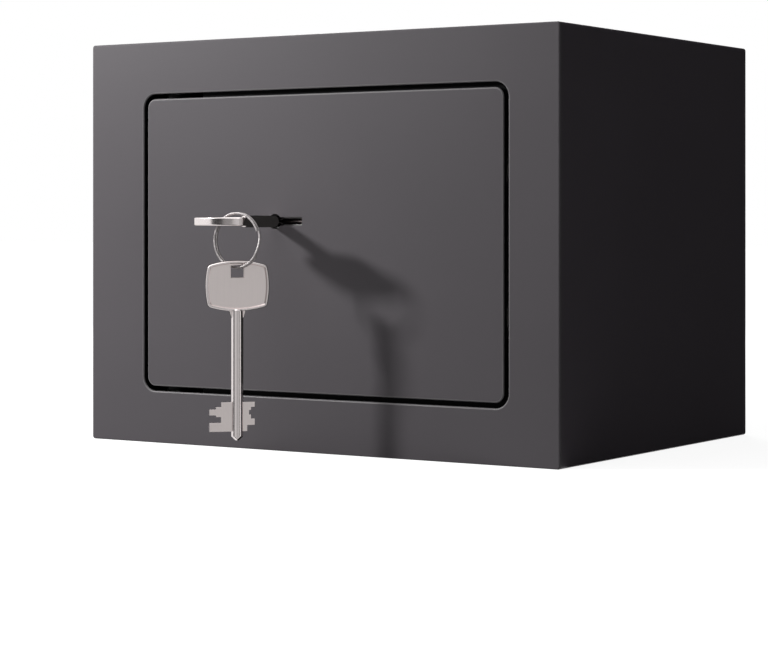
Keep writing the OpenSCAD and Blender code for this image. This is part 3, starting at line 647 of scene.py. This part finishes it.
back_bm = merged_copy("back_plate")
back_edges = sharp_edges(back_bm)
bevel(back_bm, back_edges, BACK_EDGE, 2)
piece("back_plate_coated", back_bm, ["cabinet_paint"], "back_plate")
print("wrap edges:", len(wrap_edges), "back edges:", len(back_edges))

# %% [markdown]
# ## Sheet metal and lock parts
# The pieces behind the door are smaller, and their edges are softened by a few tenths of a millimetre,
# each by what its making would leave: more on a bent bracket, less on a machined washer. A piece whose
# finish differs from the rest of its kind, such as a turned pin, has it listed here, and so have the
# brackets, stops, hinge bar and pry strip round the gap, which get the near-black painted shade.

# %% Softened hardware
EDGE_MM = {
    "hinge_bracket_top": 0.5, "hinge_bracket_bottom": 0.5, "door_stop_top": 0.3, "door_stop_bottom": 0.3,
    "bolt_keeper": 0.4, "hinge_bar": 0.6, "anti_pry_strip": 0.3, "bolt_guide": 0.4, "lock_case": 0.25,
    "lock_cover": 0.2, "lock_screws": 0.2, "lock_nuts": 0.3, "guide_washers": 0.15, "guide_nuts": 0.3,
    "hinge_washers": 0.1, "bolt_carrier": 0.3, "bolt_upper": 0.3, "bolt_lower": 0.3, "bolt_screws": 0.3,
    "guide_posts": 0.3, "drive_cam": 0.2, "key_barrel": 0.15, "crank_pin": 0.25,
    "hinge_pin_top": 0.4, "hinge_pin_bottom": 0.4, "lock_studs": 0.3, "bolt_stump": 0.3,
}
# the brackets, stops, hinge bar and pry strip round the gap get the black painted shade
OWN_FINISH = {
    "guide_posts": "turned_y", "lock_studs": "turned_y", "crank_pin": "turned_y", "lever_post": "turned_y",
    "hinge_pin_top": "turned_z", "hinge_pin_bottom": "turned_z", "lock_screws": "turned_y",
    "bolt_stump": "turned_y", "lever_springs": "turned_x", "hinge_bar": "primer", "anti_pry_strip": "primer",
    "hinge_bracket_top": "primer", "hinge_bracket_bottom": "primer", "door_stop_top": "primer",
    "door_stop_bottom": "primer",
}


def finish_of(node):
    """The finish listed above, or else the one that the node's slot names."""
    return OWN_FINISH.get(node, SLOT_OF[node])


for node, width in EDGE_MM.items():
    soft_bm = merged_copy(node)
    bevel(soft_bm, sharp_edges(soft_bm), width * MM)
    piece(node + "_finished", soft_bm, [finish_of(node)], node)
print("softened:", len(EDGE_MM))

# %% [markdown]
# ## Keys
# Both keys are cast and milled alike: a bow with a raised rim round a sunken web and a square hole, a
# round shank with a cone at its end, and a stepped bit on each side. The key is built once, hanging,
# with the end of its bow at the origin. Half of the bow is made from its outline, a ring of four shallow
# arcs, by insets and extrusions, and then mirrored front to back. Each pair of numbers of a bit is one
# step: its length along the key and its reach from the shank's axis, in millimetres.

# %% Key, its sizes
key_low, key_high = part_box("lock_key")
KEY_L = key_high.y - key_low.y
BOW_W, BOW_L, BOW_T = key_high.x - key_low.x, 20 * MM, 3.4 * MM
WEB_T = 2.0 * MM
WEB_Y = -WEB_T / 2
RIM_W, RIM_SLOPE = 0.9 * MM, 0.4 * MM
END_RISE, SIDE_RISE = 2.2 * MM, 0.9 * MM
CORNER_CUT = 0.95 * MM
RIM_ROUND, LIP_ROUND, FINE_ROUND = 0.65 * MM, 0.35 * MM, 0.12 * MM
HOLE_W, HOLE_H, HOLE_BAR = 5.2 * MM, 4.7 * MM, 2.0 * MM
SHANK_R = 2.4 * MM
GUSSET_W, GUSSET_H, GUSSET_ROUND = 1.1 * MM, 2.7 * MM, 0.2 * MM
TIP_L, TIP_R = 1.6 * MM, 0.9 * MM
BIT_END, BIT_L = 3.6 * MM, 11.6 * MM
BIG_BIT = [[1.9, 6.5], [0.9, 8.6], [2.3, 11.2], [0.7, 8.6], [2.3, 6.6], [3.5, 11.2]]
SMALL_BIT = [[2.1, 6.9], [1.2, 5.4], [1.7, 4.6], [1.6, 5.4], [2.6, 6.9], [2.4, 3.9]]
print("key length and bow width in mm:", round(KEY_L / MM, 2), round(BOW_W / MM, 2))

# %% Key, the outline of its bow
TOWARDS_Z = (0, -1, 0)  # a turn about this axis goes from X towards Z


def arc_radius(half_chord, rise):
    """The radius of a shallow arc from half its chord and its rise."""
    return (half_chord ** 2 + rise ** 2) / (2 * rise)


def bow_face(bm):
    """The bow's outline as one face in the plane y = 0, its end at the origin."""
    half_w, half_l = BOW_W / 2, BOW_L / 2
    end_r = arc_radius(half_w, END_RISE)
    side_r = arc_radius(half_l - END_RISE, SIDE_RISE)
    end_c = Vector((0, half_l - end_r))
    side_c = Vector((half_w - side_r, 0))
    meets = geometry.intersect_sphere_sphere_2d(end_c, end_r, side_c, side_r)
    corner = max(meets, key=lambda p: p.x + p.y)
    side_turn = 2 * math.atan2(corner.y, corner.x - side_c.x)
    end_turn = 2 * math.atan2(corner.x, corner.y - end_c.y)
    tip = [bm.verts.new((corner.x, 0, -corner.y - half_l))]
    arcs = [(side_c.x, 0, side_turn, 8), (0, end_c.y, end_turn, 12),
        (-side_c.x, 0, side_turn, 8), (0, -end_c.y, end_turn, 12)]
    for x, z, turn, steps in arcs:
        spun = bmesh.ops.spin(bm, geom=tip, cent=(x, 0, z - half_l), axis=TOWARDS_Z, angle=turn, steps=steps)
        tip = spun["geom_last"]
    bmesh.ops.remove_doubles(bm, verts=bm.verts, dist=HAIR)
    bmesh.ops.contextual_create(bm, geom=bm.edges[:])
    corners = [v for v in bm.verts if abs(abs(v.co.x) - corner.x) < HAIR
        and abs(abs(v.co.z + half_l) - corner.y) < HAIR]
    bmesh.ops.bevel(bm, geom=corners, offset=CORNER_CUT, affect="VERTICES", segments=5, profile=0.5,
        material=-1, clamp_overlap=True)
    return [f for f in bm.faces if f.is_valid][0]


print("radius of the bow's end arc in mm:", round(arc_radius(BOW_W / 2, END_RISE) / MM, 1))


# %% Key, its bow sunk and pierced
def sunk_front(bm, face):
    """Gives the outline half the bow's thickness, sinks the web inside the rim and returns its border."""
    if face.normal.y > 0:
        face.normal_flip()
    grown = bmesh.ops.extrude_face_region(bm, geom=[face])["geom"]
    front = [g for g in grown if isinstance(g, bmesh.types.BMFace)][0]
    bmesh.ops.translate(bm, vec=(0, -BOW_T / 2, 0), verts=front.verts)
    middle = [f for f in bm.faces if all(abs(v.co.y) < SPECK for v in f.verts)]
    bmesh.ops.delete(bm, geom=middle, context="FACES_ONLY")
    for width in (RIM_W, RIM_SLOPE):
        bmesh.ops.inset_region(bm, faces=[front], thickness=width, use_even_offset=True)
    bmesh.ops.translate(bm, vec=(0, (BOW_T - WEB_T) / 2, 0), verts=front.verts)
    border = front.edges[:]
    bmesh.ops.delete(bm, geom=[front], context="FACES_ONLY")
    return border


def web_with_hole(bm, border):
    """Fills the web round its square hole, with brushed faces, and returns the hole's front edges."""
    spots = [(-1, 0), (1, 0), (1, -1), (-1, -1)]
    hole = [bm.verts.new((side * HOLE_W / 2, WEB_Y, -HOLE_BAR + down * HOLE_H)) for side, down in spots]
    hole_edges = [bm.edges.new((hole[i], hole[(i + 1) % 4])) for i in range(4)]
    bmesh.ops.triangle_fill(bm, use_beauty=True, use_dissolve=False, edges=border + hole_edges)
    bm.normal_update()
    for face in bm.faces:
        in_web = abs(face.calc_center_median().y - WEB_Y) < HAIR
        face.material_index = 1 if in_web and abs(face.normal.y) > FACE_ON else 0
    deep = bmesh.ops.extrude_edge_only(bm, edges=hole_edges)["geom"]
    inner = [g for g in deep if isinstance(g, bmesh.types.BMVert)]
    bmesh.ops.translate(bm, vec=(0, -WEB_Y, 0), verts=inner)
    bmesh.ops.recalc_face_normals(bm, faces=bm.faces)
    return hole_edges


print("web lies behind the rim by mm:", round((BOW_T - WEB_T) / 2 / MM, 2))


# %% Key, its bow rounded and mirrored
def soften_bow(bm, hole_edges):
    """Rounds the rim's outer edge most, the lip of the hole less, and the edges inside the rim least."""
    rim = sharp_edges(bm, lambda e: in_plane(e, 1, -BOW_T / 2)
        and min(abs(f.normal.y) for f in e.link_faces) < SQUARE_ON)
    bevel(bm, rim, RIM_ROUND, 5)
    lip = [e for e in hole_edges if e.is_valid]
    bevel(bm, lip, LIP_ROUND, 3)
    fine = sharp_edges(bm, lambda e: max(v.co.y for v in e.verts) < WEB_Y + HAIR
        and min(v.co.y for v in e.verts) > -BOW_T / 2 - HAIR)
    bevel(bm, fine, FINE_ROUND, 2)


def key_bow():
    """The whole bow: its front half from the outline, then the mirror image."""
    bm = bmesh.new()
    border = sunk_front(bm, bow_face(bm))
    soften_bow(bm, web_with_hole(bm, border))
    bmesh.ops.mirror(bm, geom=bm.verts[:] + bm.edges[:] + bm.faces[:], matrix=Matrix(), merge_dist=SEAM,
        axis="Y")
    bmesh.ops.recalc_face_normals(bm, faces=bm.faces)
    return bm


print("rounding of rim, lip and fine edges in mm:", [r / MM for r in (RIM_ROUND, LIP_ROUND, FINE_ROUND)])


# %% Key, helpers for its round and flat parts
def take_in(bm, part):
    """Adds another bmesh to this one."""
    carried = bpy.data.meshes.new("carried")
    part.to_mesh(carried)
    part.free()
    bm.from_mesh(carried)
    bpy.data.meshes.remove(carried)


def lathe(points, steps=48):
    """A body of revolution about Z from a chain of [radius, height]."""
    bm = bmesh.new()
    chain = [bm.verts.new((r, 0, z)) for r, z in points]
    links = [bm.edges.new(pair) for pair in zip(chain, chain[1:])]
    bmesh.ops.spin(bm, geom=chain + links, cent=(0, 0, 0), axis=(0, 0, 1), angle=2 * math.pi, steps=steps,
        use_merge=True)
    bmesh.ops.remove_doubles(bm, verts=bm.verts, dist=SPECK)
    bmesh.ops.recalc_face_normals(bm, faces=bm.faces)
    return bm


def cut_plate(points, thickness, edge):
    """A flat plate in X and Z, centred on y = 0, with softened edges and brushed flats."""
    bm = bmesh.new()
    face = bm.faces.new([bm.verts.new((x, -thickness / 2, z)) for x, z in points])
    grown = bmesh.ops.extrude_face_region(bm, geom=[face])["geom"]
    back = [g for g in grown if isinstance(g, bmesh.types.BMVert)]
    bmesh.ops.translate(bm, vec=(0, thickness, 0), verts=back)
    bmesh.ops.recalc_face_normals(bm, faces=bm.faces)
    bevel(bm, sharp_edges(bm), edge)
    for face in bm.faces:
        face.material_index = 1 if abs(face.normal.y) > FACE_ON else 0
    return bm


print("shank's diameter and plates' thickness in mm:", round(2 * SHANK_R / MM, 2), round(WEB_T / MM, 2))


# %% Key, put together
def bit_outline(steps, side):
    """The stepped outline of one bit, from the shank's axis out and back."""
    z = -(KEY_L - BIT_END - BIT_L)
    points = [(0, z)]
    for length, reach in steps:
        points.append((side * reach * MM, z))
        z -= length * MM
        points.append((side * reach * MM, z))
    points.append((0, z))
    return points


def key_mesh():
    """The whole key, hanging from the origin: bow, shank, a gusset on each side of its neck, two bits."""
    bm = key_bow()
    tip, root = -KEY_L, -BOW_L + RIM_W
    cone = [(0, tip), (TIP_R - 0.3 * MM, tip), (TIP_R, tip + 0.2 * MM), (SHANK_R - 0.1 * MM, tip + TIP_L),
        (SHANK_R, tip + TIP_L + 0.25 * MM)]
    neck = [(SHANK_R, root - 1.0 * MM), (SHANK_R - 0.1 * MM, root - 0.5 * MM),
        (SHANK_R - 0.4 * MM, root - 0.15 * MM), (SHANK_R - 1.0 * MM, root), (0, root)]
    take_in(bm, lathe(cone + neck))
    for side in (-1, 1):
        gusset = [(0, root), (side * (SHANK_R + GUSSET_W), root), (side * SHANK_R, -BOW_L - GUSSET_H),
            (0, -BOW_L - GUSSET_H)]
        take_in(bm, cut_plate(gusset, WEB_T, GUSSET_ROUND))
    for steps, side in ((BIG_BIT, -1), (SMALL_BIT, 1)):
        take_in(bm, cut_plate(bit_outline(steps, side), WEB_T, FINE_ROUND))
    return bm


print("steps on the bits:", len(BIG_BIT), len(SMALL_BIT))

# %% Keys in their places
SPARE_YAW = math.radians(47)
spare_low, spare_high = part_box("spare_key")
spare_at = Vector(((spare_low.x + spare_high.x) / 2, (spare_low.y + spare_high.y) / 2, spare_high.z))
lock_at = Vector(((key_low.x + key_high.x) / 2, key_low.y, (key_low.z + key_high.z) / 2))
KEYS = {
    "lock_key": (Matrix.Translation(lock_at) @ Matrix.Rotation(math.radians(90), 4, "X"), "brushed_y"),
    "spare_key": (Matrix.Translation(spare_at) @ Matrix.Rotation(SPARE_YAW, 4, "Z"), "brushed_z"),
}
for node, (put, brush) in KEYS.items():
    key_bm = key_mesh()
    bmesh.ops.transform(key_bm, matrix=put, verts=key_bm.verts)
    made = piece(node + "_nickel", key_bm, ["nickel", brush], node, crease=50)
    print(made.name, "faces:", len(made.data.polygons))

# %% [markdown]
# ## Split ring
# The ring is flat spring wire wound in two turns that lie side by side, with a short jog where the wire
# steps over. One rounded section is spun round the ring's axis: a plain turn, the jog in small steps that
# each shift it sideways along a smooth curve, and another turn.

# %% Split ring
ring_low, ring_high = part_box("split_ring")
ring_centre = (ring_low + ring_high) / 2
RING_R = (ring_high.x - ring_low.x) / 2
BAND, WIRE_T, WIRE_ROUND = 0.9 * MM, 0.75 * MM, 0.3 * MM
PITCH = 1.2 * MM
RING_START, RING_SWEEP, RING_STEP = math.radians(20), math.radians(665), math.radians(2.5)
JOG_START, JOG = math.radians(310), math.radians(50)


def layer(sweep):
    """How far the wire has stepped across the ring at a sweep."""
    t = min(max((sweep - JOG_START) / JOG, 0), 1)
    return PITCH * (t * t * (3 - 2 * t) - 0.5)


ring_bm = bmesh.new()
half_t = WIRE_T / 2
section = [(RING_R - BAND, -half_t), (RING_R, -half_t), (RING_R, half_t), (RING_R - BAND, half_t)]
ring_bm.faces.new([ring_bm.verts.new((x, y, 0)) for x, y in section])
bmesh.ops.bevel(ring_bm, geom=ring_bm.verts[:], offset=WIRE_ROUND, affect="VERTICES", segments=4,
    profile=0.5, material=-1, clamp_overlap=True)
bmesh.ops.delete(ring_bm, geom=ring_bm.faces[:], context="FACES_ONLY")
bmesh.ops.rotate(ring_bm, cent=(0, 0, 0), matrix=Matrix.Rotation(-RING_START, 3, "Y"), verts=ring_bm.verts)
bmesh.ops.translate(ring_bm, vec=(0, layer(0), 0), verts=ring_bm.verts)
loop = ring_bm.verts[:] + ring_bm.edges[:]
for step in range(round(RING_SWEEP / RING_STEP)):
    shift = layer((step + 1) * RING_STEP) - layer(step * RING_STEP)
    loop = bmesh.ops.spin(ring_bm, geom=loop, cent=(0, 0, 0), axis=TOWARDS_Z, angle=RING_STEP, steps=1,
        dvec=(0, shift, 0))["geom_last"]
bmesh.ops.holes_fill(ring_bm, edges=[e for e in ring_bm.edges if len(e.link_faces) == 1])
bmesh.ops.recalc_face_normals(ring_bm, faces=ring_bm.faces)
bmesh.ops.translate(ring_bm, vec=ring_centre, verts=ring_bm.verts)
ring = piece("split_ring_wire", ring_bm, ["ring_wire"], "split_ring")
print("ring faces:", len(ring.data.polygons), "radius in mm:", round(RING_R / MM, 2))

# %% [markdown]
# ## Felt mat
# The mat is cut from sheet felt with two round holes over the anchor holes. Its outline and holes are
# filled as one face, cut into small squares so that it can lie a little unevenly, and given its thickness.

# %% Felt mat, its outline in squares
mat_low, mat_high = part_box("floor_mat")
MAT_HOLE_X, MAT_HOLE_Y, MAT_HOLE_R = 55 * MM, 10 * MM, 8 * MM
MAT_CUTS = (27, 19)
mat_bm = bmesh.new()
rect = [mat_bm.verts.new((x, y, mat_low.z)) for x, y in ((mat_low.x, mat_low.y), (mat_high.x, mat_low.y),
    (mat_high.x, mat_high.y), (mat_low.x, mat_high.y))]
for i in range(4):
    mat_bm.edges.new((rect[i], rect[(i + 1) % 4]))
for side in (-1, 1):
    bmesh.ops.create_circle(mat_bm, cap_ends=False, segments=32, radius=MAT_HOLE_R,
        matrix=Matrix.Translation((side * MAT_HOLE_X, MAT_HOLE_Y, mat_low.z)))
bmesh.ops.triangle_fill(mat_bm, use_beauty=True, use_dissolve=False, edges=mat_bm.edges[:])
for axis, cuts in enumerate(MAT_CUTS):
    for k in range(1, cuts + 1):
        spot, across = Vector(mat_low), Vector((0, 0, 0))
        spot[axis] += (mat_high[axis] - mat_low[axis]) * k / (cuts + 1)
        across[axis] = 1
        bmesh.ops.bisect_plane(mat_bm, geom=mat_bm.verts[:] + mat_bm.edges[:] + mat_bm.faces[:],
            plane_co=spot, plane_no=across, dist=SPECK)
print("mat faces before its thickness:", len(mat_bm.faces))

# %% Felt mat, its thickness
MAT_T = (mat_high.z - mat_low.z) - 0.1 * MM
UNEVEN, WAVES = 0.12 * MM, 60
bmesh.ops.recalc_face_normals(mat_bm, faces=mat_bm.faces)
if sum(f.normal.z for f in mat_bm.faces) < 0:
    bmesh.ops.reverse_faces(mat_bm, faces=mat_bm.faces)
top = bmesh.ops.extrude_face_region(mat_bm, geom=mat_bm.faces[:])["geom"]
for v in (g for g in top if isinstance(g, bmesh.types.BMVert)):
    v.co.z += MAT_T + UNEVEN * noise.noise(v.co * WAVES)
bmesh.ops.recalc_face_normals(mat_bm, faces=mat_bm.faces)
mat = piece("floor_mat_felt", mat_bm, ["felt"], "floor_mat")

# %% [markdown]
# ## The nodes that keep their CAD solids
# The levers, their springs and what else is sealed inside the lock case show only through the slot in
# its cover. Their solids are right as they are, so they only get their finish.

# %% Finishes for the other nodes
kept = [o for o in frame["nodes"].values() if not o.hide_render]
for thing in kept:
    for material_slot in thing.material_slots:
        material_slot.material = FINISH[finish_of(thing.name)]
print("kept CAD solids:", sorted(o.name for o in kept))

# %% [markdown]
# ## Size
# The dressed safe has to be as large as the frame's.
